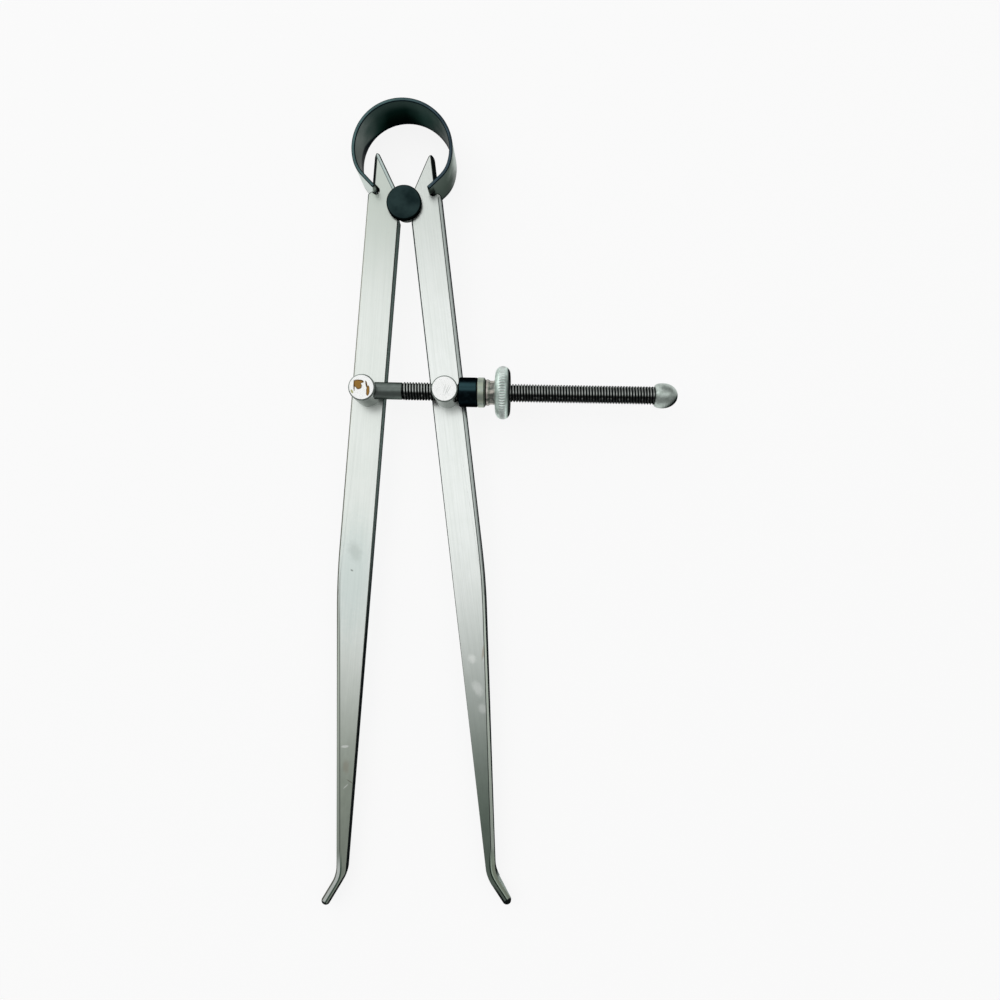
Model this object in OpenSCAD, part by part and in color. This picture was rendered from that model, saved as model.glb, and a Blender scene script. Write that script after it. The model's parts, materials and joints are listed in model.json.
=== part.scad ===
/* [Legs] */
// Width of each leg above its knee
leg_w = 9.4; // [8:0.1:11]
// Thickness of each leg
leg_t = 4; // [3:0.1:4.4]
// Space between the legs' inner edges when they are parallel
inner_gap = 2.7; // [2.6:0.1:4]
// Distance from the seat centre down to the knee
knee_drop = 109.5; // [100:0.5:112]
// Radius that softens the knee
knee_r = 220; // [120:10:300]
// Angle by which a leg's outer edge closes on the inner one below the knee
taper_deg = 4.65; // [4:0.05:4.7]
// Distance from the seat centre down to the ankle of the toe
ankle_drop = 194; // [188:0.5:195]
// Length of the toe from its ankle to the centre of its round end
toe_l = 8.4; // [5:0.1:10]
// Angle by which the toe turns out from the leg
toe_deg = 26.5; // [15:0.5:40]
// Thickness of the toe
toe_w = 2.5; // [2:0.1:2.6]
// Radius of the bend at the ankle, on its hollow side
ankle_bend = 9; // [4:0.5:12]
// Angle by which the facet behind the toe's contact edge slopes in
toe_relief_deg = 24; // [10:1:26]
// Angle of each leg from the caliper's middle line as it is set
half_spread = 5.6; // [3:0.1:12]
// How far the left leg sits up its seat and the right leg down, in the seat's play
seat_slip = 0.4; // [0:0.05:0.4]

/* [Leg heads] */
// Slope of the horn's inner bevel from the leg's own direction
bevel_deg = 30; // [27:0.5:32]
// Distance from the fulcrum axis to the line of the bevel
bevel_offset = 0.53; // [0.4:0.01:0.8]
// How far the horn's outer edge stands in from the leg's
horn_step = 0.8; // [0.5:0.05:1.2]
// Radius of the horn's tip
horn_tip_r = 0.9; // [0.6:0.05:1.1]
// Width of the facets along the horn's outer edge
horn_facet_w = 0.8; // [0.4:0.05:0.9]
// Slope of those facets
horn_facet_deg = 62; // [50:1:70]
// Distance from the inner edge out to the centre of the spring notch's round bottom
notch_out = 7.2; // [6.4:0.1:7.4]
// Distance from the seat centre up to the centre of the spring notch's round bottom
notch_up = 2.9; // [2.4:0.1:3.4]
// Width of the spring notch
notch_w = 1.7; // [1.4:0.05:1.9]
// Direction in which the spring notch opens, up from straight outward
notch_deg = 42; // [38:1:48]

/* [Fulcrum] */
// Diameter of the fulcrum's pin
pin_d = 6; // [5:0.1:6.4]
// Diameter of the flange in front of the legs
flange_d = 10; // [9.2:0.1:10.6]
// Thickness of the flange
flange_t = 1.6; // [1.2:0.1:2.4]
// Diameter of the collar behind the legs
collar_d = 7.2; // [7:0.1:8]
// Thickness of the collar
collar_t = 0.5; // [0.3:0.1:1]

/* [Bow spring] */
// Width of the strip
spring_w = 12; // [10:0.5:14]
// Thickness of the strip
spring_t = 1.05; // [0.8:0.05:1.1]
// Radius of the bow, to the middle of the strip
bow_r = 13.8; // [13:0.1:15]
// Radius of the tighter bend near each end
curl_r = 9; // [8:0.1:10]
// How far below the bow's level centre line the tighter bend starts
curl_from_deg = 15; // [5:1:25]
// Length of the two prongs that straddle the leg at each end
prong_l = 0.9; // [0.6:0.1:1.4]
// How far the bow stands to the left in the play of its notches
bow_shift = 0.4; // [0:0.05:0.4]

/* [Studs] */
// Distance from the seat centre down to the stud
stud_drop = 55.5; // [50:0.1:60]
// Diameter of the stud
stud_d = 7.4; // [7:0.1:8]
// Height of the stud above the leg's face
stud_h = 8.8; // [8.4:0.1:9.6]
// Diameter of the shank on which the stud swivels
shank_d = 4; // [3.4:0.1:4.6]
// Diameter of the riveted end behind the leg
rivet_d = 6; // [5.4:0.1:6.6]

/* [Screw and nut] */
// Outside diameter of the thread
thread_d = 4.95; // [4.6:0.05:5]
// Diameter of the plain length beside the left stud
plain_d = 4.74; // [4.4:0.02:4.8]
// Where the thread starts, from the left stud's axis
thread_from = 9.8; // [8:0.1:11]
// Height of the screw's axis above the legs' faces
screw_rise = 4.5; // [4.4:0.1:4.8]
// Diameter of the sleeve that bears on the right stud
sleeve_d = 8.2; // [7.6:0.1:8.2]
// Length of the sleeve
sleeve_l = 5.2; // [4:0.1:6]
// Thickness of the thrust washer
washer_t = 2.15; // [1.5:0.05:2.6]
// Diameter of the nut's knurled wheel
wheel_d = 14.7; // [13:0.1:16]
// Thickness of the wheel
wheel_t = 4.2; // [4:0.1:4.8]
// Number of serrations round the wheel
serrations = 60; // [40:2:72]
// Depth of a serration
serration_h = 0.26; // [0.16:0.02:0.4]
// Distance from the left stud's axis to the end knob
knob_from = 81.5; // [60:0.5:90]
// Length of the end knob
knob_l = 6.5; // [5:0.1:8]
// Greatest diameter of the end knob
knob_d = 7; // [6.4:0.1:8]

/* [Hidden] */
$fn = 96;

STEEL = [0.74, 0.77, 0.74];
PLATED = [0.80, 0.82, 0.82];
OXIDE = [0.20, 0.25, 0.25];
SPRING_BLUE = [0.22, 0.28, 0.29];
BLACK = [0.05, 0.05, 0.055];

running = 0.05;
eps = 0.01;

// A leg's own frame: the seat's centre is its origin, its toe points down and +X is outward
inner_x = inner_gap / 2;
outer_x = inner_x + leg_w;
stud_at = [inner_x + leg_w / 2, -stud_drop];
seat_r = pin_d / 2 + seat_slip + running;
seat_lip = [inner_x, -4.9];
seat_relief = [inner_x + 1.1, -1.9];
notch = [inner_x + notch_out, notch_up];
shoulder = [outer_x, 1.7];
lip = [outer_x - 0.75, 2.5];
horn_x = outer_x - horn_step;
tip_c = [
    horn_x - horn_tip_r,
    (horn_x - horn_tip_r - (bevel_offset + horn_tip_r) / cos(bevel_deg)) / tan(bevel_deg)
];
bevel_foot = [bevel_offset * cos(bevel_deg), -bevel_offset * sin(bevel_deg)];
mouth_top = [horn_x, notch.y + (horn_x - notch.x) * tan(notch_deg)];
knee_c = [outer_x - knee_r, -knee_drop + knee_r * tan(taper_deg / 2)];
ankle_r = toe_w / 2;
ankle = [inner_x + ankle_r, -ankle_drop];
toe_c = ankle + toe_l * [sin(toe_deg), -cos(toe_deg)];
// Where the toe's outer side meets the tapered edge
heel = ankle + ankle_r * [cos(toe_deg), sin(toe_deg)];
heel_gap = outer_x + (heel.y + knee_drop) * tan(taper_deg) - heel.x;
instep = heel + heel_gap / (sin(toe_deg) + cos(toe_deg) * tan(taper_deg)) * [sin(toe_deg), -cos(toe_deg)];
// The ankle's bend: its hollow side, and the inner edge round the outside of it
bend_half = (toe_deg + taper_deg) / 2;
hollow_c = instep + ankle_bend / cos(bend_half) * [cos(toe_deg - bend_half), sin(toe_deg - bend_half)];
bend_r = ankle_bend + toe_w;
bend_c = ankle + (bend_r - ankle_r) * [1, tan(toe_deg / 2)];

function turned(a, p) = [p.x * cos(a) - p.y * sin(a), p.x * sin(a) + p.y * cos(a)];
function arc(c, r, a0, a1, steps) =
    [for (i = [0:steps]) let (a = a0 + (a1 - a0) * i / steps) c + r * [cos(a), sin(a)]];

// A point of a leg's frame, in the caliper's frame, where side is 1 on the right and -1 on the left
function leg_point(side, p) =
    let (q = turned(half_spread, p - [0, side * seat_slip])) [side * q.x, q.y];

// The screw runs from the left stud to the right one
stud_l = leg_point(-1, stud_at);
stud_r = leg_point(1, stud_at);
stud_span = norm(stud_r - stud_l);
screw_deg = atan2(stud_r.y - stud_l.y, stud_r.x - stud_l.x);
screw_z = leg_t / 2 + screw_rise;
screw_play = 0.37;
bore_r = thread_d / 2 + screw_play;
in_stud = 2.2;
in_knob = 3.4;
sleeve_from = stud_span + stud_d / 2 + running;
washer_from = sleeve_from + sleeve_l + running;
nut_from = washer_from + washer_t + running;
hub_l = 2.7;
wheel_mid = hub_l + wheel_t / 2;

// The bow stands on the line between the two notches
notch_l = leg_point(-1, notch);
notch_r = leg_point(1, notch);
notch_half = norm(notch_r - notch_l) / 2;
bow_deg = atan2(notch_r.y - notch_l.y, notch_r.x - notch_l.x);
end_deg = 45;
curl_c = (bow_r - curl_r) * [cos(curl_from_deg), -sin(curl_from_deg)];
curl_end = curl_c + curl_r * [cos(end_deg), -sin(end_deg)];
end_l = (curl_end.x - notch_half) / sin(end_deg);
bow_rise = end_l * cos(end_deg) - curl_end.y;
end_seat = -0.08;
bow_c = (notch_l + notch_r) / 2 + turned(bow_deg, [-bow_shift, bow_rise]);

// The footprint, so that the origin lies under the middle of the caliper as it rests
west = leg_point(-1, toe_c).x - ankle_r;
east = stud_l.x + (knob_from + knob_l) * cos(screw_deg);
south = leg_point(1, toe_c).y - ankle_r;
north = bow_c.y + bow_r + spring_t / 2;
origin = [-(west + east) / 2, -(south + north) / 2, spring_w / 2];

module on_leg(side) {
    translate(origin)
        if (side > 0) rotate(half_spread) translate([0, -seat_slip, 0]) children();
        else mirror([1, 0, 0]) rotate(half_spread) translate([0, seat_slip, 0]) children();
}

// Places a turned piece, drawn along +Z, at a distance from the left stud's axis along the screw
module along_screw(at) {
    translate(origin + [stud_l.x, stud_l.y, screw_z])
        rotate(screw_deg)
            rotate([0, 90, 0])
                translate([0, 0, at]) children();
}

// Outline of a leg, in its own frame, from the seat down the inner edge and back up the outer one
module leg_outline() {
    difference() {
        polygon(concat(
            [seat_relief, seat_lip],
            arc(bend_c, bend_r, 180, 180 + toe_deg, 6),
            arc(toe_c, ankle_r, 180 + toe_deg, 360 + toe_deg, 12),
            arc(hollow_c, ankle_bend, 180 + toe_deg, 180 - taper_deg, 6),
            arc(knee_c, knee_r, -taper_deg, 0, 8),
            [shoulder, lip, notch, mouth_top],
            arc(tip_c, horn_tip_r, 0, 180 - bevel_deg, 10),
            [bevel_foot]
        ));
        circle(seat_r);
        translate(notch) circle(notch_w / 2);
        translate(notch)
            rotate(notch_deg)
                translate([0, -notch_w / 2]) square([3 * notch_w, notch_w]);
    }
}

module leg(side) {
    on_leg(side)
        difference() {
            linear_extrude(leg_t, center = true) leg_outline();
            translate(stud_at) cylinder(h = leg_t + 1, d = shank_d + 2 * running, center = true);
            toe_relief();
            horn_facets();
        }
}

// Facet ground off the back of the toe, behind its contact edge, which runs out toward the ankle
module toe_relief() {
    land = 0.9;
    deepest = (leg_t - land) * tan(toe_relief_deg);
    runout = atan(deepest / (toe_l - ankle_r));
    translate([toe_c.x, toe_c.y, leg_t / 2 - land])
        rotate(toe_deg)
            translate([ankle_r, 0, 0])
                rotate([0, toe_relief_deg, -runout])
                    translate([0, -toe_w, -2 * leg_t]) cube([leg_t, toe_l, 2 * leg_t]);
}

// Facets along the horn's outer edge, in front and behind
module horn_facets() {
    for (back = [0, 1]) mirror([0, 0, back])
        translate([horn_x - horn_facet_w, notch.y, leg_t / 2])
            rotate([0, horn_facet_deg, 0]) cube([leg_t, tip_c.y, leg_t]);
}

module left_leg() { color(STEEL) leg(-1); }
module right_leg() { color(STEEL) leg(1); }

// Pin, front flange and the collar behind the legs, turned as one spool
module fulcrum_spool() {
    chamfer = 0.3;
    face = leg_t / 2 + running;
    top = face + flange_t;
    back = -face - collar_t;
    color(OXIDE)
        translate(origin)
            rotate_extrude()
                polygon([
                    [0, back], [collar_d / 2 - collar_t, back], [collar_d / 2, -face], [pin_d / 2, -face],
                    [pin_d / 2, face], [flange_d / 2 - chamfer, face], [flange_d / 2, face + chamfer],
                    [flange_d / 2, top - chamfer], [flange_d / 2 - chamfer, top], [0, top]
                ]);
}

// Edge of the strip at a distance out from its middle line, from the tip of the right end to the left
function strip_edge(out) =
    let (tip = curl_end - (end_l + end_seat + prong_l) * [sin(end_deg), cos(end_deg)],
         right = concat([tip + out * [cos(end_deg), -sin(end_deg)]],
                        arc(curl_c, curl_r + out, -end_deg, -curl_from_deg, 6)),
         rise = 90 + curl_from_deg,
         bow = [for (i = [1:27]) let (a = rise * i / 28 - curl_from_deg) (bow_r + out) * [cos(a), sin(a)]],
         half = concat(right, bow))
        concat(half, [[0, bow_r + out]], [for (i = [len(half) - 1:-1:0]) [-half[i].x, half[i].y]]);

// One strip: the bow, a tighter bend on each side and a straight end with two prongs
module bow_spring() {
    fork_w = leg_t + 0.4;
    outer = strip_edge(spring_t / 2);
    inner = strip_edge(-spring_t / 2);
    color(SPRING_BLUE)
        translate(origin + [bow_c.x, bow_c.y, 0])
            rotate(bow_deg)
                difference() {
                    linear_extrude(spring_w, center = true)
                        polygon(concat(outer, [for (i = [len(inner) - 1:-1:0]) inner[i]]));
                    for (side = [0, 1]) mirror([side, 0, 0])
                        translate(curl_end)
                            rotate(-end_deg)
                                translate([-spring_t, -end_l - end_seat - 2 * prong_l, -fork_w / 2])
                                    cube([2 * spring_t, 2 * prong_l, fork_w]);
                }
}

// Turned stud: head and body above the leg, shank through it and a riveted end behind it
module stud_turning() {
    chamfer = 0.35;
    rivet_h = 0.9;
    back = -leg_t - 2 * running;
    rotate_extrude()
        polygon(concat(
            [[0, stud_h], [stud_d / 2 - chamfer, stud_h], [stud_d / 2, stud_h - chamfer]],
            [[stud_d / 2, 0], [shank_d / 2, 0], [shank_d / 2, back], [rivet_d / 2, back]],
            [for (a = [0:15:75]) [rivet_d / 2 * cos(a), back - rivet_h * sin(a)]],
            [[0, back - rivet_h]]
        ));
}

module on_stud(side) {
    at = side < 0 ? stud_l : stud_r;
    translate(origin + [at.x, at.y, leg_t / 2 + running]) rotate(screw_deg) children();
}

module left_stud() {
    color(PLATED)
        on_stud(-1)
            difference() {
                stud_turning();
                translate([-in_stud, 0, screw_rise - running])
                    rotate([0, 90, 0]) cylinder(h = stud_d + in_stud, d = plain_d);
            }
}

module right_stud() {
    color(PLATED)
        on_stud(1)
            difference() {
                stud_turning();
                translate([0, 0, screw_rise - running])
                    rotate([0, 90, 0]) cylinder(h = 2 * stud_d, r = bore_r, center = true);
            }
}

// Plain length in the left stud, then the thread's outside diameter as far as the end knob
module adjusting_screw() {
    lead = 0.2;
    color(OXIDE)
        along_screw(0)
            rotate_extrude()
                polygon([
                    [0, -in_stud], [plain_d / 2, -in_stud], [plain_d / 2, thread_from],
                    [thread_d / 2, thread_from + lead], [thread_d / 2, knob_from + in_knob],
                    [0, knob_from + in_knob]
                ]);
}

// Acorn-shaped stop on the end of the screw
module end_knob() {
    face_r = 2.75;
    belly = 2.2;
    nose_r = 0.3;
    r = knob_d / 2;
    color(PLATED)
        along_screw(knob_from)
            rotate_extrude()
                polygon(concat(
                    [[0, in_knob], [thread_d / 2, in_knob], [thread_d / 2, 0]],
                    [for (i = [0:5]) let (a = i * 18)
                        [face_r + (r - face_r) * sin(a), belly * (1 - cos(a))]],
                    [for (i = [1:10]) let (a = i * 9)
                        [nose_r + (r - nose_r) * cos(a), belly + (knob_l - belly) * sin(a)]],
                    [[0, knob_l]]
                ));
}

// Bush between the right stud and the washer, with rounded edges
module thrust_sleeve() {
    edge = 0.4;
    r = sleeve_d / 2;
    color(BLACK)
        along_screw(sleeve_from)
            rotate_extrude()
                polygon(concat(
                    [[bore_r, sleeve_l], [bore_r, 0]],
                    arc([r - edge, edge], edge, -90, 0, 4),
                    arc([r - edge, sleeve_l - edge], edge, 0, 90, 4)
                ));
}

module thrust_washer() {
    r = sleeve_d / 2 + 0.05;
    chamfer = 0.45;
    color(PLATED)
        along_screw(washer_from)
            rotate_extrude()
                polygon([
                    [bore_r, 0], [r - 0.15, 0], [r, 0.15], [r, washer_t - chamfer],
                    [r - chamfer, washer_t], [bore_r, washer_t]
                ]);
}

// Hub, waist and wheel turned as one, with serrations across the crown of the wheel
module adjusting_nut() {
    hub_r = 3.65;
    waist_r = 3.3;
    rim_r = wheel_t / 2;
    crown = wheel_d / 2;
    end = hub_l + wheel_t;
    lead = 0.3;
    color(PLATED)
        along_screw(nut_from)
            intersection() {
                rotate_extrude()
                    polygon(concat(
                        [[bore_r + lead, 0], [hub_r - lead, 0], [hub_r, lead]],
                        [[hub_r, 0.7], [waist_r, 1.3], [waist_r, hub_l - 0.5]],
                        [[waist_r + lead, hub_l]],
                        arc([crown - rim_r, wheel_mid], rim_r, -90, 90, 16),
                        [[bore_r + lead, end], [bore_r, end - lead], [bore_r, lead]]
                    ));
                linear_extrude(hub_l + wheel_t + 1)
                    polygon([for (i = [0:2 * serrations - 1])
                        let (r = crown - (i % 2) * serration_h, a = 180 * i / serrations)
                            (r + eps) * [cos(a), sin(a)]]);
            }
}

left_leg();
right_leg();
fulcrum_spool();
bow_spring();
left_stud();
right_stud();
adjusting_screw();
end_knob();
thrust_sleeve();
thrust_washer();
adjusting_nut();
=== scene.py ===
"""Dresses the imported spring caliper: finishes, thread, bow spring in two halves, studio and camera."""

import json
import logging
import math
from dataclasses import dataclass
from enum import Enum
from typing import Optional, Sequence

import bmesh
import bpy
from mathutils import Matrix, Vector


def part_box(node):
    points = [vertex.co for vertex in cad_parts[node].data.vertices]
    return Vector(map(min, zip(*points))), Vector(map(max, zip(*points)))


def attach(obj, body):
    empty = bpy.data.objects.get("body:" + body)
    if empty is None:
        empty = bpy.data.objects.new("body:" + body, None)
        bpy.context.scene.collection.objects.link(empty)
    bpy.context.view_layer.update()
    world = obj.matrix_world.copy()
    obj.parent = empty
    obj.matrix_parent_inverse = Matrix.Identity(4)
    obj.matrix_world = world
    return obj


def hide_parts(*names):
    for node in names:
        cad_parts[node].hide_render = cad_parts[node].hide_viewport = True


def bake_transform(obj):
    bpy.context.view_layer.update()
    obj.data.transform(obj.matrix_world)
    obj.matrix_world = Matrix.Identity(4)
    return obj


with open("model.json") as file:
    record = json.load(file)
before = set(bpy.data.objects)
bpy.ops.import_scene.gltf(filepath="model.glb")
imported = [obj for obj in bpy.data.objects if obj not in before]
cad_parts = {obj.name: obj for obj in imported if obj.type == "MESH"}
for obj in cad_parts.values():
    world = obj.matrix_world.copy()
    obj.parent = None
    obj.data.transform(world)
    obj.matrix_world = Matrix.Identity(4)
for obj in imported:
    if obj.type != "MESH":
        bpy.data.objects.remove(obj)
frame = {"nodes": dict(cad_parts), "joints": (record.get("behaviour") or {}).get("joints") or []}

LOG = logging.getLogger("caliper")
MM = 0.001
Colour = tuple[float, float, float]
Pair = tuple[float, float]
Socket = bpy.types.NodeSocket

# Limits of the meshes' edges, and the upward share of the normal where a broken edge shows and below which
# the spool and the studs get painted shade
WELD_M = 1e-6
FLAT = math.radians(0.5)
SHARP = math.radians(35)
SMOOTH = math.radians(30)
EDGE_STEPS = 2
EDGE_LEAN: Pair = (0.97, 0.90)


class Side(Enum):
    """A side of the caliper, as the sign of its X."""

    LEFT = -1
    RIGHT = 1


@dataclass(frozen=True)
class Layout:
    """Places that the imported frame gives, in metres."""

    fulcrum: Vector
    left_stud: Vector
    right_stud: Vector
    screw_axis: Vector
    half_spread: float = math.radians(5.6)
    leg_face_z: float = 8.0 * MM

    @classmethod
    def from_frame(cls, joints: Sequence[dict]) -> "Layout":
        """Reads the joints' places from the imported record.

        Args:
            joints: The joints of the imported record.

        Returns:
            The layout of the caliper at rest.
        """
        by_name = {joint["name"]: joint for joint in joints}
        return cls(
            fulcrum=Vector(by_name["left_leg_pivot"]["pos_m"]),
            left_stud=Vector(by_name["screw_swivel"]["pos_m"]),
            right_stud=Vector(by_name["stud_swivel"]["pos_m"]),
            screw_axis=Vector(by_name["nut_spin"]["axis"]),
        )

    def screw_frame(self) -> Matrix:
        """Returns the frame whose +X runs along the screw from the left stud's axis."""
        return Matrix.Translation(self.left_stud) @ Matrix.Rotation(self.screw_turn(), 4, "Z")

    def screw_turn(self) -> float:
        """Returns the angle about Z of the screw's own frame."""
        return math.atan2(self.screw_axis.y, self.screw_axis.x)

    def leg_turn(self, side: Side) -> float:
        """Returns the angle about Z of a leg's own frame on that side."""
        return side.value * self.half_spread


@dataclass
class Graph:
    """A small builder of node graphs, which keeps a material's point and the colour laid so far."""

    tree: bpy.types.NodeTree
    material: Optional[bpy.types.Material] = None
    point: Optional[Socket] = None
    parts: tuple[Socket, ...] = ()
    colour: object = None

    @classmethod
    def of_material(cls, name: str) -> "Graph":
        """Starts the graph of a new, empty material."""
        material = bpy.data.materials.new(name)
        material.use_nodes = True
        material.node_tree.nodes.clear()
        return cls(material.node_tree, material)

    def node(self, kind: str, values: Optional[dict] = None, **settings: object) -> bpy.types.Node:
        """Adds a node, sets its properties and feeds its inputs.

        Args:
            kind: The node's type name, without the ShaderNode prefix.
            values: What goes into its inputs, by their names or places.
            settings: Properties of the node.

        Returns:
            The new node.
        """
        made = self.tree.nodes.new("ShaderNode" + kind)
        for key, value in settings.items():
            setattr(made, key, value)
        for key, value in (values or {}).items():
            self.feed(made.inputs[key], value)
        return made

    def feed(self, socket: Socket, value: object) -> None:
        """Links a socket to another, or sets its value."""
        if isinstance(value, Socket):
            self.tree.links.new(value, socket)
        elif isinstance(value, tuple) and len(value) == 3 and socket.type == "RGBA":
            socket.default_value = (*value, 1.0)
        else:
            socket.default_value = value

    def math(self, operation: str, *values: object) -> Socket:
        """Returns the result of a math node over one to three values."""
        return self.node("Math", dict(enumerate(values)), operation=operation).outputs[0]

    def times(self, product: object, *others: object) -> Socket:
        """Returns the product of values, such as masks."""
        for other in others:
            product = self.math("MULTIPLY", product, other)
        return product

    def dot(self, vector: Socket, way: object) -> Socket:
        """Returns how far a vector reaches along a direction."""
        return self.node("VectorMath", {0: vector, 1: way}, operation="DOT_PRODUCT").outputs["Value"]

    def length(self, vector: Socket) -> Socket:
        """Returns the length of a vector."""
        return self.node("VectorMath", {0: vector}, operation="LENGTH").outputs["Value"]

    def normal(self, kind: str = "True Normal") -> Socket:
        """Returns the direction that the surface faces."""
        return self.node("NewGeometry").outputs[kind]

    def span(self, value: object, low: float, high: float) -> Socket:
        """Returns 0 to 1 as the value goes smoothly from low to high."""
        values = {"Value": value, "From Min": low, "From Max": high}
        return self.node("MapRange", values, interpolation_type="SMOOTHSTEP").outputs["Result"]

    def within(self, value: object, reach: float, soft: float) -> Socket:
        """Returns 1 where the value is under the reach and 0 beyond it, with a soft edge."""
        return self.span(value, reach + soft, reach - soft)

    def scaled(self, value: object, low: float, high: float) -> Socket:
        """Returns low to high as the value goes from 0 to 1."""
        return self.node("MapRange", {"Value": value, "To Min": low, "To Max": high}).outputs["Result"]

    def mix(self, share: object, first: object, second: object) -> Socket:
        """Returns a colour between the first, at a share of 0, and the second, at 1."""
        return self.node("Mix", {0: share, 6: first, 7: second}, data_type="RGBA").outputs[2]

    def lay(self, share: object, colour: object) -> None:
        """Lays a colour over the colour so far, as far as the share says."""
        self.colour = self.mix(share, self.colour, colour)

    def place(self, origin: Vector, turn: float = 0.0) -> tuple[Socket, ...]:
        """Keeps the surface point in a frame of the part at rest, in millimetres.

        Args:
            origin: The frame's origin, in metres.
            turn: The frame's angle about Z.

        Returns:
            The point's three parts.
        """
        rest = self.node("TexCoord").outputs["Object"]
        shifted = self.node("VectorMath", {0: rest, 1: origin}, operation="SUBTRACT").outputs[0]
        values = {"Vector": shifted, "Rotation": (0.0, 0.0, -turn), "Scale": (1.0 / MM,) * 3}
        self.point = self.node("Mapping", values).outputs[0]
        self.parts = self.split(self.point)
        return self.parts

    def radius(self) -> Socket:
        """Returns the point's distance from the X axis of its frame."""
        return self.length(self.stretch(self.point, (0.0, 1.0, 1.0)))

    def stretch(self, vector: Socket, factors: Sequence[float]) -> Socket:
        """Returns a vector with its three parts multiplied by the factors."""
        return self.node("VectorMath", {0: vector, 1: factors}, operation="MULTIPLY").outputs[0]

    def split(self, vector: Socket) -> tuple[Socket, ...]:
        """Returns the three parts of a vector."""
        return tuple(self.node("SeparateXYZ", {0: vector}).outputs)

    def noise(self, scale: float, detail: float, rough: float = 0.5,
              stretch: Sequence[float] = (1.0, 1.0, 1.0)) -> Socket:
        """Returns a noise value of about 0 to 1 at the point, whose parts the stretch multiplies."""
        values = {"Vector": self.stretch(self.point, stretch), "Scale": scale, "Detail": detail,
                  "Roughness": rough}
        return self.node("TexNoise", values).outputs["Fac"]

    def spot(self, spot: "Spot", warp: Socket) -> Socket:
        """Returns 1 inside an uneven patch and 0 outside it.

        Args:
            spot: The patch.
            warp: A noise value that breaks up its outline.

        Returns:
            The patch's mask.
        """
        values = {"Vector": self.point, "Location": (spot.x, spot.y, 0.0),
                  "Rotation": (0.0, 0.0, math.radians(spot.turn)),
                  "Scale": (spot.half_w, spot.half_l, spot.half_h)}
        local = self.node("Mapping", values, vector_type="TEXTURE").outputs[0]
        ragged = self.math("MULTIPLY_ADD", warp, spot.ragged, self.length(local))
        inside = self.within(ragged, 1.0 + 0.5 * spot.ragged, spot.soft)
        return self.times(inside, spot.strength)

    def marks(self, spots: Sequence["Spot"], warp: Socket) -> None:
        """Lays patches in turn, with outlines that a noise breaks up."""
        for spot in spots:
            self.lay(self.spot(spot, warp), spot.colour)

    def metal(self, roughness: Socket, height: Socket, bump_mm: float, metallic: object = 1.0,
              sheen: object = 1.0, gloss: float = 0.5) -> bpy.types.Material:
        """Ends the graph in a metal surface of the colour laid.

        Args:
            roughness: Roughness of the surface.
            height: Bump height of 0 to 1.
            bump_mm: Depth of the bump, in millimetres.
            metallic: Share of metal, as a socket or a number.
            sheen: Share of the bright reflection at low angles, kept low on oxide and where painted shade
                should stay dark.
            gloss: Reflection of what isn't metal.

        Returns:
            The finished material.
        """
        varies = isinstance(sheen, Socket)
        tint = self.mix(sheen, (0.0, 0.0, 0.0), (1.0, 1.0, 1.0)) if varies else (sheen, sheen, sheen)
        bump = self.node("Bump", {"Distance": bump_mm * MM, "Height": height}).outputs[0]
        values = {"Base Color": self.colour, "Roughness": roughness, "Metallic": metallic,
                  "Specular IOR Level": gloss, "Specular Tint": tint, "Normal": bump}
        surface = self.node("BsdfPrincipled", values).outputs[0]
        self.node("OutputMaterial", {"Surface": surface})
        return self.material


@dataclass(frozen=True)
class Spot:
    """An uneven patch on a surface, in millimetres of the surface's own frame."""

    x: float
    y: float
    half_w: float
    half_l: float
    colour: Colour
    strength: float = 1.0
    turn: float = 0.0
    ragged: float = 0.8
    soft: float = 0.3
    half_h: float = 1000.0


@dataclass(frozen=True)
class Veil:
    """A faint uneven tint over a finish: the noise that places it, and its greatest share."""

    stretch: tuple[float, float, float]
    scale: float
    detail: float
    rough: float
    share: float
    colour: Colour

    def noise(self, graph: Graph) -> Socket:
        """Returns the tint's noise at the graph's point."""
        return graph.noise(self.scale, self.detail, self.rough, self.stretch)

    def lay(self, graph: Graph, noise: Socket) -> None:
        """Lays the tint, as far as the noise brings it."""
        graph.lay(graph.scaled(noise, 0.0, self.share), self.colour)


@dataclass(frozen=True)
class EdgeBand:
    """A band of painted shade or painted highlight along the toe's hollow edge: how far in from it the
    band reaches, in millimetres.
    """

    reach: float
    colour: Colour


@dataclass(frozen=True)
class LegTone:
    """What differs between the legs' finishes, with places in millimetres from the fulcrum; their outer
    lines, strip shares, toe bands and sole are painted shade and painted highlights.
    """

    face: Colour
    toe: Colour
    fade: Pair
    head_share: float
    outer_line: tuple[Colour, Colour]
    strip_shares: Pair
    spots: tuple[Spot, ...]
    toe_bands: tuple[EdgeBand, ...]
    sole_from: Pair
    sole_over: Pair
    head: Colour = (0.40, 0.46, 0.40)
    head_fade: Pair = (-36.0, 3.0)


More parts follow.
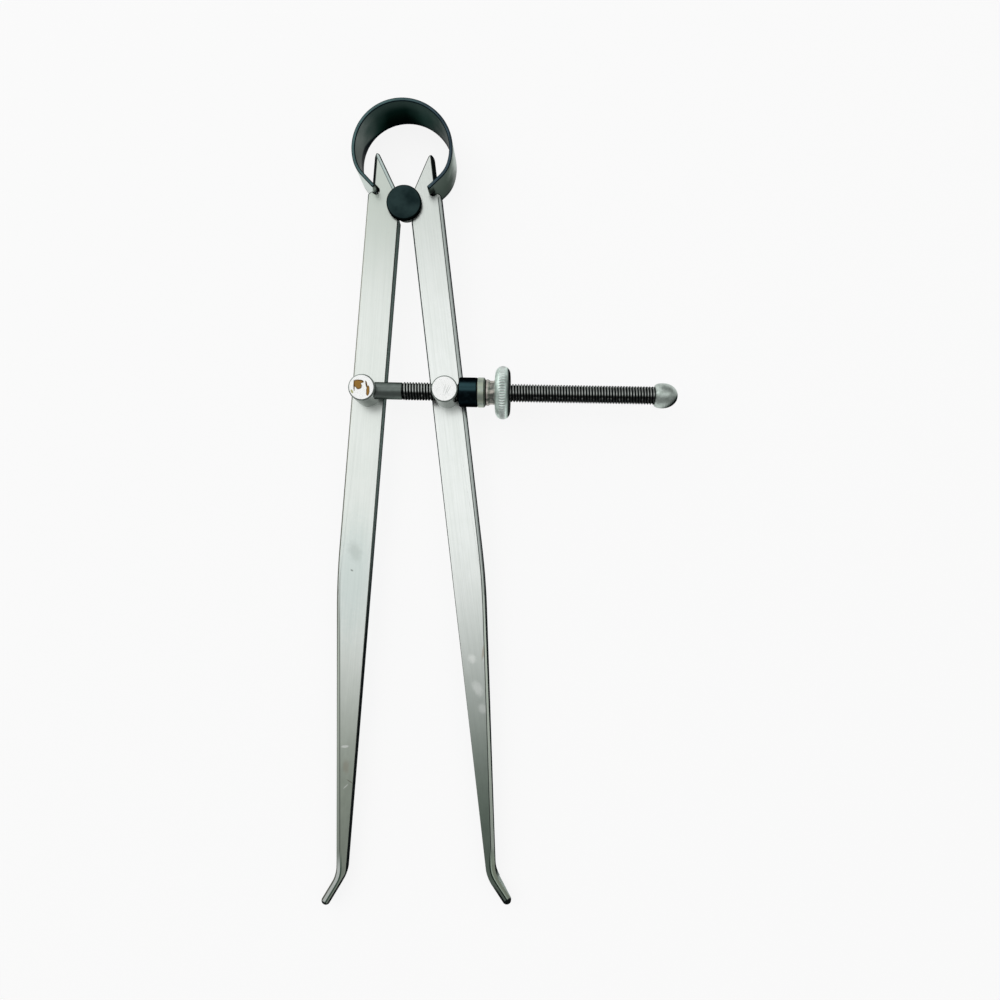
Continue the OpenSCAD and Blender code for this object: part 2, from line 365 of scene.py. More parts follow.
@dataclass(frozen=True)
class SatinSteel:
    """Satin leg steel with lengthwise grain, handling marks, a patch of painted shade at the left knee,
    and painted shade and painted highlights on its edges, sides, horns and toes.

    Places are in millimetres of the leg's own frame, whose origin is the fulcrum. A pair of places
    is where a mark starts to show and where it shows in full.
    """

    name: str
    layout: Layout
    side: Side
    tone: LegTone
    cloud: Veil = Veil((1.0, 1.0, 1.0), 0.11, 3.0, 0.5, 0.30, (0.60, 0.68, 0.61))
    mottle: Veil = Veil((1.0, 0.45, 1.0), 0.55, 4.0, 0.6, 0.18, (0.52, 0.56, 0.50))
    brushing: Veil = Veil((2.4, 0.035, 2.4), 1.0, 3.0, 0.6, 0.22, (0.50, 0.55, 0.51))
    grain: Veil = Veil((5.0, 0.12, 5.0), 1.6, 4.0, 0.6, 0.26, (0.54, 0.59, 0.55))
    brush_span: Pair = (0.35, 0.75)
    toe_mottle: float = 0.35
    # Painted shade on the broken edges: inner_line is the dark line painted on edges that face inwards or
    # lie near the head, and beside the outer strip, and it also darkens the toe's mottle; the lower-edge
    # reflection is a lighter line painted lower down.
    inner_line: Colour = (0.045, 0.055, 0.048)
    lower_edge_reflection: Colour = (0.40, 0.43, 0.37)
    lower_edge_reflection_share: float = 0.75
    lower_edge_reflection_from: Pair = (-60.0, -130.0)
    # Painted shade on the sides: inner is the grey of sides that face inwards; the colour named scale is
    # the near-black painted shade of sides that face out, lower down, at the back and near the head, and
    # also of the horns' outer band, the sole and the toe's tip.
    inner: Colour = (0.21, 0.28, 0.255)
    scale: Colour = (0.012, 0.016, 0.016)
    # lit is a painted highlight on the toe's sides that face up the leg.
    lit: Colour = (0.47, 0.56, 0.50)
    lit_from: Pair = (-150.0, -170.0)
    ankle: Pair = (2.6, -194.0)
    ankle_blend: float = 1.99
    toe_deg: float = 26.5
    toe_half: float = 1.25
    toe_tip: Pair = (8.45, 8.85)
    toe_from: Pair = (-186.0, -192.0)
    toe_soft: float = 0.07
    outer_x: float = 10.75
    knee: float = -109.5
    knee_blend: float = 1.06
    taper_deg: float = 4.65
    # The strip and its line are painted shade standing in for a chamfer along the outer edge.
    strip: tuple[Colour, Colour] = ((0.38, 0.42, 0.40), (0.50, 0.56, 0.49))
    strip_w: float = 0.86
    strip_line_w: float = 1.10
    strip_soft: float = 0.05
    strip_top: Pair = (1.5, 0.5)
    strip_end: Pair = (-192.0, -186.0)
    strip_change: Pair = (-100.0, -130.0)
    # Painted shade on the horns: the black outer band, and the left horn's chamfer strip and line, which
    # stand in for a chamfer that isn't modelled.
    horn_band: Pair = (8.75, 8.95)
    horn_from: Pair = (3.4, 3.8)
    bevel_deg: float = 30.0
    bevel_offset: float = 0.53
    horn_chamfer: Colour = (0.44, 0.52, 0.50)
    horn_chamfer_line: Colour = (0.09, 0.12, 0.115)
    horn_chamfer_w: Pair = (0.95, 0.85)
    horn_chamfer_rule: Pair = (0.62, 0.74)
    horn_chamfer_from: Pair = (0.5, 2.5)
    horn_chamfer_line_share: float = 0.8
    # Painted shade near the head and at the back: head_line brings the dark edge line, dark_head and
    # dark_depth make the sides fully dark; line_lean and side_lean pick out the broken edges and the
    # sides.
    head_line: Pair = (-1.0, 1.0)
    dark_head: Pair = (-4.0, 0.0)
    dark_depth: Pair = (-0.3, -0.9)
    line_lean: Pair = (0.985, 0.97)
    side_lean: Pair = (0.62, 0.55)
    roughness: Pair = (0.24, 0.36)
    grain_mm: float = 0.006

    def out(self, graph: Graph) -> Socket:
        """Returns the distance out from the leg's own middle line."""
        return graph.times(graph.parts[0], float(self.side.value))

    def flat(self, graph: Graph, grain: Socket) -> None:
        """Lays the colours of the flat faces.

        Args:
            graph: The leg's graph.
            grain: The lengthwise grain.
        """
        along = graph.parts[1]
        mottle = self.mottle.noise(graph)
        head = graph.times(graph.span(along, *self.tone.head_fade), self.tone.head_share)
        graph.colour = graph.mix(head, self.tone.face, self.tone.head)
        self.cloud.lay(graph, self.cloud.noise(graph))
        self.mottle.lay(graph, mottle)
        self.brushing.lay(graph, graph.span(self.brushing.noise(graph), *self.brush_span))
        self.grain.lay(graph, grain)
        toe = graph.mix(graph.scaled(mottle, 0.0, self.toe_mottle), self.tone.toe, self.inner_line)
        graph.lay(graph.span(along, *self.tone.fade), toe)
        graph.marks(self.tone.spots, graph.noise(0.9, 5.0, 0.65))
        self.horn_face(graph)
        inset = self.leg_inset(graph)
        self.edge_strip(graph, inset)
        self.toe_face(graph, inset)

    def horn_face(self, graph: Graph) -> None:
        """Lays painted shade on the horns: a black band along the outer edge, and on the left horn a grey
        strip with a dark line for a chamfer on its inner edge.

        Args:
            graph: The leg's graph.
        """
        along = graph.parts[1]
        out = self.out(graph)
        band = graph.times(graph.span(out, *self.horn_band), graph.span(along, *self.horn_from))
        graph.lay(band, self.scale)
        if self.side is Side.RIGHT:
            return
        slant = math.radians(self.bevel_deg)
        depth = graph.math("SUBTRACT", graph.times(out, math.cos(slant)),
                           graph.math("MULTIPLY_ADD", along, math.sin(slant), self.bevel_offset))
        strip = graph.times(graph.span(depth, *self.horn_chamfer_w), graph.span(along, *self.horn_chamfer_from))
        rule = graph.times(strip, graph.span(depth, *self.horn_chamfer_rule))
        graph.lay(strip, self.horn_chamfer)
        graph.lay(graph.times(rule, self.horn_chamfer_line_share), self.horn_chamfer_line)

    def leg_inset(self, graph: Graph) -> Socket:
        """Returns the distance in from the leg's outer edge, which tapers below a soft knee.

        Args:
            graph: The leg's graph.

        Returns:
            The distance, in millimetres.
        """
        over_knee = graph.math("SUBTRACT", graph.parts[1], self.knee)
        run = graph.times(over_knee, math.tan(math.radians(self.taper_deg)))
        edge = graph.math("ADD", graph.math("SMOOTH_MIN", 0.0, run, self.knee_blend), self.outer_x)
        return graph.math("SUBTRACT", edge, self.out(graph))

    def edge_strip(self, graph: Graph, inset: Socket) -> None:
        """Lays painted shade along the leg's outer edge: a grey strip for a chamfer that isn't modelled,
        with a dark line on its inner side.

        Args:
            graph: The leg's graph.
            inset: Distance in from the leg's outer edge.
        """
        along = graph.parts[1]
        lower = graph.span(along, *self.strip_change)
        shown = graph.times(graph.scaled(lower, *self.tone.strip_shares),
                            graph.span(along, *self.strip_end), graph.span(along, *self.strip_top))
        line = graph.within(inset, self.strip_line_w, self.strip_soft)
        graph.lay(graph.times(line, shown), self.inner_line)
        ground = graph.within(inset, self.strip_w, self.strip_soft)
        graph.lay(graph.times(ground, shown), graph.mix(lower, *self.strip))

    def toe_face(self, graph: Graph, leg_inset: Socket) -> None:
        """Lays painted shade and painted highlights on the toe: dark, pale and olive bands that follow the
        hollow edge round the ankle, the dark sole and the dark tip.

        Args:
            graph: The leg's graph.
            leg_inset: Distance in from the leg's outer edge.
        """
        lean = math.radians(self.toe_deg)
        side = float(self.side.value)
        over = self.from_ankle(graph, (side * math.cos(lean), math.sin(lean)))
        ahead = self.from_ankle(graph, (side * math.sin(lean), -math.cos(lean)))
        toe_inset = graph.math("SUBTRACT", self.toe_half, over)
        inset = graph.math("SMOOTH_MAX", leg_inset, toe_inset, self.ankle_blend)
        along = graph.parts[1]
        below = graph.span(along, *self.toe_from)
        for band in self.tone.toe_bands:
            graph.lay(graph.times(graph.within(inset, band.reach, self.toe_soft), below), band.colour)
        sole = graph.times(graph.span(over, *self.tone.sole_over), graph.span(along, *self.tone.sole_from))
        graph.lay(graph.math("MAXIMUM", sole, graph.span(ahead, *self.toe_tip)), self.scale)

    def from_ankle(self, graph: Graph, way: Pair) -> Socket:
        """Returns how far the point lies from the ankle along a direction in the leg's frame."""
        start = self.side.value * self.ankle[0] * way[0] + self.ankle[1] * way[1]
        return graph.math("SUBTRACT", graph.dot(graph.point, (*way, 0.0)), start)

    def make(self) -> bpy.types.Material:
        """Builds the material."""
        graph = Graph.of_material(self.name)
        along, deep = graph.place(self.layout.fulcrum, self.layout.leg_turn(self.side))[1:]
        grain = self.grain.noise(graph)
        self.flat(graph, grain)
        normal_x, normal_y, normal_z = graph.split(graph.normal())
        upward = graph.math("ABSOLUTE", normal_z)
        outside = graph.span(graph.times(normal_x, float(self.side.value)), -0.1, 0.1)
        lower = graph.span(along, *self.lower_edge_reflection_from)
        # Painted shade on the broken edges: on those that face inwards a dark line that turns into a
        # lighter painted reflection lower down, on those that face out the tone's two outer lines, and a
        # dark line round the head.
        inner_line = graph.mix(graph.times(lower, self.lower_edge_reflection_share), self.inner_line, self.lower_edge_reflection)
        line = graph.mix(outside, inner_line, graph.mix(lower, *self.tone.outer_line))
        line = graph.mix(graph.span(along, *self.head_line), line, self.inner_line)
        graph.lay(graph.span(upward, *self.line_lean), line)
        # Painted shade on the sides: grey where they face inwards, near black where they face out, lower
        # down the leg, at their back and near the head.
        flank = graph.mix(lower, graph.mix(outside, self.inner, self.scale), self.scale)
        flank = graph.mix(graph.span(deep, *self.dark_depth), flank, self.scale)
        flank = graph.mix(graph.span(along, *self.dark_head), flank, self.scale)
        # Painted highlight on the toe's sides that face up the leg, towards +Y.
        toe = graph.times(graph.span(normal_y, 0.25, 0.5), graph.span(along, *self.lit_from))
        steep = graph.span(upward, *self.side_lean)
        graph.lay(steep, graph.mix(toe, flank, self.lit))
        # The sides are no metal and have no gloss, so that their painted shade stays dark.
        bare = graph.math("SUBTRACT", 1.0, steep)
        return graph.metal(graph.scaled(grain, *self.roughness), grain, self.grain_mm, bare, gloss=0.0)


@dataclass(frozen=True)
class OxideSteel:
    """Dark blue-green oxide on steel, clouded, with painted shade on its broken edge and sides."""

    name: str
    deep: Colour = (0.007, 0.015, 0.016)
    thin: Colour = (0.024, 0.043, 0.043)
    edge: Colour = (0.004, 0.008, 0.008)
    pin: Colour = (0.62, 0.65, 0.63)
    pin_top: float = 8.0
    roughness: Pair = (0.34, 0.46)

    def make(self) -> bpy.types.Material:
        """Builds the material."""
        graph = Graph.of_material(self.name)
        height = graph.place(Vector())[2]
        cloud = graph.noise(0.18, 4.0)
        fine = graph.noise(3.0, 3.0)
        graph.colour = graph.mix(graph.span(cloud, 0.32, 0.70), self.deep, self.thin)
        upward = graph.math("ABSOLUTE", graph.split(graph.normal())[2])
        # Painted shade on every face that doesn't face up: the broken edge and the sides.
        graph.lay(graph.span(upward, *EDGE_LEAN), self.edge)
        graph.lay(graph.within(height, self.pin_top, 0.05), self.pin)
        return graph.metal(graph.scaled(fine, *self.roughness), fine, 0.004, sheen=0.2)


@dataclass(frozen=True)
class SpringOxide:
    """Oxide of the bow spring with blue-grey rims, and painted light: painted shade near black inside the
    crown that lightens to grey on the inner sides, pale painted highlights on the outer sides, and dark
    painted lines on the broken edges and along the back rim.

    Places are in millimetres from the middle of the bow.
    """

    name: str
    centre: Vector
    # Painted shade inside the bow: core, crown and flank; painted highlights and shade on its outer sides:
    # outer, right and foot; line is a random darkening and also painted shade on the edges and the back
    # rim.
    core: Colour = (0.006, 0.014, 0.011)
    crown: Colour = (0.048, 0.075, 0.067)
    flank: Colour = (0.205, 0.235, 0.220)
    outer: Colour = (0.66, 0.75, 0.70)
    right: Colour = (0.46, 0.55, 0.49)
    foot: Colour = (0.110, 0.140, 0.120)
    rim: Colour = (0.085, 0.145, 0.145)
    blue: Colour = (0.060, 0.092, 0.112)
    line: Colour = (0.006, 0.013, 0.017)

    def make(self) -> bpy.types.Material:
        """Builds the material."""
        graph = Graph.of_material(self.name)
        across, along, deep = graph.place(self.centre)
        cloud = graph.noise(0.22, 4.0)
        fine = graph.noise(1.6, 3.0, stretch=(1.0, 1.0, 4.0))
        shifted = graph.math("MULTIPLY_ADD", cloud, 7.0, along)
        off_middle = graph.math("ABSOLUTE", graph.math("ADD", across, 2.2))
        wander = graph.math("MULTIPLY_ADD", cloud, 3.0, off_middle)
        # Painted shade inside: near black in the middle of the crown, lightening to grey down the inner
        # sides.
        middle = graph.times(graph.span(wander, 11.5, 3.5), graph.span(along, 4.0, 10.0))
        middle = graph.times(middle, graph.scaled(graph.span(deep, 5.5, 1.0), 0.45, 1.0))
        inside = graph.mix(graph.span(shifted, 15.0, 6.0), self.crown, self.flank)
        inside = graph.mix(middle, inside, self.core)
        # Painted light on the outer sides: pale painted highlights down the right side and the left foot,
        # over dark painted shade towards the feet.
        right = graph.times(graph.span(shifted, -4.0, 5.0), graph.span(along, 9.0, 4.0),
                            graph.span(across, 0.0, 5.0))
        left = graph.times(graph.span(across, 0.0, -4.0), graph.span(along, 4.0, -2.0))
        outside = graph.mix(graph.span(along, -2.0, 6.0), self.foot, self.crown)
        outside = graph.mix(right, outside, self.right)
        outside = graph.mix(left, outside, self.outer)
        # Mask of the painted highlights on both outer sides.
        rubbed = graph.math("MAXIMUM", right, left)
        normal = graph.normal()
        outward = graph.span(graph.dot(normal, graph.stretch(graph.point, (1.0, 1.0, 0.0))), -0.5, 0.5)
        graph.colour = graph.mix(outward, inside, outside)
        graph.lay(graph.scaled(fine, 0.0, 0.25), self.line)
        upward = graph.math("ABSOLUTE", graph.split(normal)[2])
        # Painted shade: a dark line on the broken edges.
        graph.lay(graph.span(upward, 0.15, 0.30), self.line)
        rim = graph.mix(graph.span(across, -2.0, 11.0), self.rim, self.blue)
        rim = graph.mix(graph.scaled(cloud, 0.0, 0.5), rim, self.line)
        graph.lay(graph.span(upward, 0.94, 0.98), rim)
        # Painted shade: a dark line along the back rim, wider on the inner sides lower down.
        flank = graph.times(graph.span(along, 11.0, 4.0), graph.scaled(outward, 2.3, 0.0))
        far = graph.span(graph.math("SUBTRACT", deep, flank), -4.4, -5.6)
        graph.lay(graph.times(far, 0.9), self.line)
        # The painted highlights' mask also lets those sides reflect fully at low angles.
        shine = graph.math("MULTIPLY_ADD", graph.times(outward, rubbed), 0.65, 0.35)
        return graph.metal(graph.scaled(fine, 0.30, 0.44), fine, 0.004, sheen=shine)


@dataclass(frozen=True)
class BrightPlate:
    """Plating with haze, pitting, scratches and places where it has flaked, and painted shade on every
    face that doesn't face up.
    """

    name: str
    origin: Vector
    spots: tuple[Spot, ...]
    colour: Colour = (0.86, 0.87, 0.86)
    haze: Colour = (0.62, 0.65, 0.64)
    pit: Colour = (0.20, 0.20, 0.19)
    pit_share: float = 0.25
    # line is painted shade on the broken edges and sides.
    line: Colour = (0.25, 0.29, 0.265)
    roughness: Pair = (0.16, 0.30)

    def make(self) -> bpy.types.Material:
        """Builds the material."""
        graph = Graph.of_material(self.name)
        graph.place(self.origin)
        haze = graph.noise(0.8, 4.0)
        pit = graph.span(graph.noise(4.5, 2.0), 0.36, 0.26)
        graph.colour = graph.mix(graph.scaled(haze, 0.0, 0.35), self.colour, self.haze)
        graph.lay(graph.times(pit, self.pit_share), self.pit)
        graph.marks(self.spots, graph.noise(1.1, 4.0, 0.6))
        # Painted shade on every face that doesn't face up.
        graph.lay(graph.span(graph.split(graph.normal())[2], *EDGE_LEAN), self.line)
        rough = graph.scaled(haze, *self.roughness)
        return graph.metal(rough, graph.math("SUBTRACT", 1.0, pit), 0.012)


@dataclass(frozen=True)
class TurnedPlate:
    """Dull plating on pieces turned about the screw, darker between serrations, with painted shade on the
    faces that face one given way, and streaks of painted reflection on the neck.
    """

    name: str
    layout: Layout
    shade_way: Vector
    colour: Colour = (0.54, 0.61, 0.57)
    crest: Optional[Pair] = None
    neck: Optional[Pair] = None
    tint: Colour = (0.38, 0.44, 0.40)
    mottle: float = 0.5
    # face is the painted shade on the faces towards the shade way.
    face: Colour = (0.020, 0.025, 0.024)
    rubbed: Colour = (0.66, 0.70, 0.68)
    # Painted reflection and painted highlight on the neck: dark brown and pale pink streaks.
    neck_reflection: tuple[Colour, Colour] = ((0.07, 0.060, 0.052), (0.52, 0.46, 0.415))
    neck_reflection_share: float = 0.85
    pit: Colour = (0.08, 0.085, 0.08)
    roughness: Pair = (0.34, 0.46)

    def make(self) -> bpy.types.Material:
        """Builds the material."""
        graph = Graph.of_material(self.name)
        along = graph.place(self.layout.left_stud, self.layout.screw_turn())[0]
        haze = graph.noise(0.9, 4.0, 0.6)
        fine = graph.noise(5.0, 3.0)
        graph.colour = graph.mix(graph.span(haze, 0.35, 0.70), self.colour, self.tint)
        if self.crest is not None:
            graph.lay(graph.span(graph.radius(), *self.crest), self.rubbed)
        if self.neck is not None:
            # Painted reflection on the neck: streaks of dark brown with pale pink painted highlights.
            on_neck = graph.span(along, *self.neck)
            streak = graph.noise(0.9, 3.0, stretch=(0.5, 1.0, 1.0))
            neck_reflection = graph.mix(graph.span(streak, 0.38, 0.62), *self.neck_reflection)
            graph.lay(graph.times(on_neck, self.neck_reflection_share), neck_reflection)
        # Painted shade on the faces towards the shade way, which also lose their bright reflection at low
        # angles.
        ends = graph.span(graph.dot(graph.normal("Normal"), self.shade_way), 0.45, 0.88)
        graph.lay(ends, self.face)
        pit = graph.span(graph.noise(2.2, 3.0), 0.24 + 0.2 * self.mottle, 0.24)
        graph.lay(graph.times(pit, self.mottle), self.pit)
        rough = graph.scaled(fine, *self.roughness)
        return graph.metal(rough, fine, 0.006, sheen=graph.math("SUBTRACT", 1.0, ends))


@dataclass(frozen=True)
class BlackGloss:
    """Glossy black finish with faint dust and rubbing, and a painted highlight along its upper side."""

    name: str
    colour: Colour = (0.004, 0.008, 0.010)
    rubbed: Colour = (0.010, 0.020, 0.024)
    top: Colour = (0.024, 0.056, 0.064)
    highlight_way: tuple[float, float, float] = (0.0, 0.21, 0.98)

    def make(self) -> bpy.types.Material:
        """Builds the material."""
        graph = Graph.of_material(self.name)
        graph.place(Vector())
        rub = graph.noise(1.2, 5.0, 0.6)
        graph.colour = graph.mix(graph.span(rub, 0.45, 0.75), self.colour, self.rubbed)
        # Painted highlight along the sleeve's upper side.
        graph.lay(graph.span(graph.dot(graph.normal("Normal"), self.highlight_way), 0.93, 0.995), self.top)
        return graph.metal(graph.scaled(rub, 0.24, 0.38), rub, 0.003, sheen=0.25)


@dataclass(frozen=True)
class ThreadSteel:
    """Dark oxide in the thread's root and on the plain length, steel on the crests: a little wear all
    round, and painted highlights on the upper side.

    Levels across the screw are in shares of the crest's radius.
    """

    name: str
    layout: Layout
    root_r: float
    crest_r: float
    thread_from: float
    root: Colour = (0.010, 0.012, 0.012)
    crest: Colour = (0.58, 0.62, 0.59)
    plain: Colour = (0.165, 0.195, 0.180)
    plain_dark: Colour = (0.11, 0.13, 0.12)
    all_round: float = 0.10

    def make(self) -> bpy.types.Material:
        """Builds the material."""
        graph = Graph.of_material(self.name)
        along, across, up = graph.place(self.layout.left_stud, self.layout.screw_turn())
        rub = graph.noise(0.7, 4.0, 0.6)
        height = graph.span(graph.radius(), self.root_r, self.crest_r)
        crest_wear_and_glint = graph.times(height, graph.scaled(rub, 0.3, 1.0))
        # Painted highlights on the crests: a broad band on the upper side and dashes of a narrow band at
        # its lower edge, only where the crests face up.
        level = graph.times(across, 1.0 / self.crest_r)
        rubbed = graph.times(graph.span(level, -0.45, -0.15), graph.span(level, 0.95, 0.70))
        wander = graph.math("MULTIPLY_ADD", graph.noise(1.7, 2.0), 1.2 / self.crest_r, level)
        low = graph.times(graph.span(wander, -0.50, -0.40), graph.span(wander, -0.26, -0.36))
        dash = graph.span(graph.noise(1.1, 2.0, stretch=(1.0, 0.2, 0.2)), 0.46, 0.62)
        marks = graph.math("MAXIMUM", rubbed, graph.times(low, dash))
        marks = graph.times(marks, graph.span(up, 0.0, 0.3))
        crest_wear_and_glint = graph.times(crest_wear_and_glint, graph.math("MAXIMUM", marks, self.all_round))
        graph.colour = graph.mix(crest_wear_and_glint, self.root, self.crest)
        smooth = graph.span(along, self.thread_from, self.thread_from - 0.1)
        graph.lay(smooth, graph.mix(rub, self.plain, self.plain_dark))
        return graph.metal(graph.scaled(rub, 0.26, 0.42), rub, 0.004, sheen=0.1)


def dress(node: str, material: bpy.types.Material, bevel_mm: float = 0.0,
          weights: Optional[bpy.types.NodeTree] = None) -> None:
    """Gives a CAD node its finish and, where asked, softly broken edges.

    Args:
        node: The node's name.
        material: Its finish.
        bevel_mm: Width of the broken edge, or 0 for none.
        weights: Node group that says how far each edge is broken, instead of all sharp ones alike.
    """
    piece = frame["nodes"][node]
    piece.data.materials.clear()
    piece.data.materials.append(material)
    if bevel_mm:
        weld = piece.modifiers.new("weld", "WELD")
        weld.merge_threshold = WELD_M
        flat = piece.modifiers.new("flat", "DECIMATE")
        flat.decimate_type = "DISSOLVE"
        flat.angle_limit = FLAT
        if weights is not None:
            piece.modifiers.new("weights", "NODES").node_group = weights
        edge = piece.modifiers.new("edge", "BEVEL")
        edge.width = bevel_mm * MM
        edge.segments = EDGE_STEPS
        edge.limit_method = "ANGLE" if weights is None else "WEIGHT"
        edge.angle_limit = SHARP
        edge.use_clamp_overlap = weights is None
        normals = piece.modifiers.new("normals", "WEIGHTED_NORMAL")
        normals.keep_sharp = True
    LOG.info("%s dressed in %s", node, material.name)


@dataclass
class Leg:
    """One leg: its finish, broken edges and marks."""

    layout: Layout
    side: Side
    tone: LegTone
    edge_mm: float = 0.42
    head_share: float = 0.75
    head_fade: Pair = (-1.0 * MM, 0.5 * MM)
    toe_fade: Pair = (-184.0 * MM, -176.0 * MM)
    level: float = 0.1 * MM
    square: float = math.radians(80.0)
    stud_clear: float = 4.0 * MM

    def edge_weights(self, name: str) -> bpy.types.NodeTree:
        """Builds the node group that breaks the outline of the leg's two faces, and no upright corner.

        Args:
            name: The node group's name.

        Returns:
            The node group.
        """
        tree = bpy.data.node_groups.new(name, "GeometryNodeTree")
        for way in ("INPUT", "OUTPUT"):
            tree.interface.new_socket("Geometry", in_out=way, socket_type="NodeSocketGeometry")
        graph = Graph(tree)
        begin = tree.nodes.new("NodeGroupInput")
        close = tree.nodes.new("NodeGroupOutput")
        store = tree.nodes.new("GeometryNodeStoreNamedAttribute")
        store.domain = "EDGE"
        store.inputs["Name"].default_value = "bevel_weight_edge"
        ends = tree.nodes.new("GeometryNodeInputMeshEdgeVertices").outputs
        first = graph.split(ends["Position 1"])
        second = graph.split(ends["Position 2"])
        rise = graph.math("ABSOLUTE", graph.math("SUBTRACT", first[2], second[2]))
        level = graph.math("LESS_THAN", rise, self.level)
        angle = tree.nodes.new("GeometryNodeInputMeshEdgeAngle").outputs[0]
        square = graph.math("GREATER_THAN", angle, self.square)
        along = graph.math("SUBTRACT", graph.math("MAXIMUM", first[1], second[1]), self.layout.fulcrum.y)
        share = graph.scaled(graph.span(along, *self.head_fade), 1.0, self.head_share)
        share = graph.times(share, graph.span(along, *self.toe_fade))
        stud = self.layout.left_stud if self.side is Side.LEFT else self.layout.right_stud
        places = {0: graph.stretch(ends["Position 1"], (1.0, 1.0, 0.0)), 1: (stud.x, stud.y, 0.0)}
        away = graph.node("VectorMath", places, operation="DISTANCE").outputs["Value"]
        open_edge = graph.math("GREATER_THAN", away, self.stud_clear)
        graph.feed(store.inputs["Value"], graph.times(level, square, open_edge, share))
        tree.links.new(begin.outputs[0], store.inputs["Geometry"])
        tree.links.new(store.outputs[0], close.inputs[0])
        return tree

    def dress(self) -> None:
        """Finishes the leg's CAD node."""
        name = self.side.name.lower() + "_leg"
        finish = SatinSteel(name + "_steel", self.layout, self.side, self.tone)
        dress(name, finish.make(), self.edge_mm, self.edge_weights(name + "_edges"))


@dataclass
class Screw:
    """Adjusting screw with its real helical thread, in millimetres along the screw."""

    layout: Layout
    start: float = -2.2
    thread_from: float = 10.8
    end: float = 84.9
    pitch: float = 0.8
    plain_r: float = 2.37
    crest_r: float = 2.475
    root_r: float = 2.12
    sectors: int = 36
    plain_sectors: int = 48
    run_out: float = 0.25
    core_r: float = 2.10
    weld: float = 1e-5
    sliver: float = 1e-6

    def point(self, place: float, sector: int, radius: float) -> Vector:
        """Returns a point of the helical surface, held inside the threaded length."""
        turn = 2.0 * math.pi * sector / self.sectors
        along = place + self.pitch * sector / self.sectors
        if not self.thread_from < along < self.end:
            radius = self.root_r
            along = min(max(along, self.thread_from), self.end)
        return Vector((along, radius * math.cos(turn), radius * math.sin(turn)))

    def thread_mesh(self) -> bmesh.types.BMesh:
        """Builds the threaded length as one helical sheet closed at both ends."""
        mesh = bmesh.new()
        profile = ((0.0, self.root_r), (0.20, self.root_r), (0.43, self.crest_r), (0.77, self.crest_r))
        turns = math.ceil((self.end - self.thread_from) / self.pitch) + 2
        rows = []
        for turn in range(-1, turns):
            for share, radius in profile:
                place = self.thread_from + (turn + share) * self.pitch
                corners = [self.point(place, sector, radius) for sector in range(self.sectors)]
                rows.append([mesh.verts.new(corner) for corner in corners])
        lead = len(profile)
        for index in range(len(rows) - lead - 1):
            for sector in range(self.sectors):
                ahead = 0 if sector + 1 < self.sectors else lead
                after = (sector + 1) % self.sectors
                mesh.faces.new((rows[index][sector], rows[index + 1][sector],
                                rows[index + 1 + ahead][after], rows[index + ahead][after]))
        bmesh.ops.remove_doubles(mesh, verts=mesh.verts, dist=self.weld)
        bmesh.ops.dissolve_degenerate(mesh, edges=mesh.edges, dist=self.sliver)
        return mesh

    def build(self) -> None:
        """Builds the screw in place of its plain CAD rod."""
        mesh = self.thread_mesh()
        step = self.thread_from - self.run_out
        stations = [(self.start, 0.0), (self.start, self.plain_r), (step, self.plain_r),
                    (self.thread_from, self.core_r), (self.end, self.core_r), (self.end, 0.0)]
        add_lathe(mesh, stations, self.plain_sectors)
        place = self.layout.screw_frame() @ Matrix.Scale(MM, 4)
        bmesh.ops.transform(mesh, matrix=place, verts=mesh.verts)
        piece = finish_mesh("screw_thread", mesh)
        finish = ThreadSteel("thread_steel", self.layout, self.root_r, self.crest_r, self.thread_from)
        piece.data.materials.append(finish.make())
        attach(piece, "screw")
        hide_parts("adjusting_screw")
        LOG.info("screw with %d faces", len(piece.data.polygons))


def add_lathe(mesh: bmesh.types.BMesh, stations: Sequence[Pair], steps: int) -> None:
    """Adds a closed turned surface about X.

    Args:
        mesh: The mesh that it is added to.
        stations: Places along X and radii, from one end on the axis to the other.
        steps: Number of sectors.
    """
    rings = []
    for place, radius in stations:
        if radius == 0.0:
            rings.append([mesh.verts.new((place, 0.0, 0.0))])
        else:
            angles = [2.0 * math.pi * step / steps for step in range(steps)]
            ring = [(place, radius * math.cos(angle), radius * math.sin(angle)) for angle in angles]
            rings.append([mesh.verts.new(corner) for corner in ring])
    for low, high in zip(rings, rings[1:]):
        for step in range(steps):
            after = (step + 1) % steps
            if len(low) == 1:
                mesh.faces.new((low[0], high[after], high[step]))
            elif len(high) == 1:
                mesh.faces.new((low[step], low[after], high[0]))
            else:
                mesh.faces.new((low[step], low[after], high[after], high[step]))


def finish_mesh(name: str, mesh: bmesh.types.BMesh) -> bpy.types.Object:
    """Makes an object of a mesh, smooth apart from its sharp edges.

    Args:
        name: The piece's name.
        mesh: Its mesh, which is freed.

    Returns:
        The new object.
    """
    bmesh.ops.recalc_face_normals(mesh, faces=mesh.faces)
    for face in mesh.faces:
        face.smooth = True
    for edge in mesh.edges:
        edge.smooth = edge.is_manifold and edge.calc_face_angle(0.0) < SMOOTH
    data = bpy.data.meshes.new(name)
    mesh.to_mesh(data)
    mesh.free()
    piece = bpy.data.objects.new(name, data)
    bpy.context.scene.collection.objects.link(piece)
    return piece


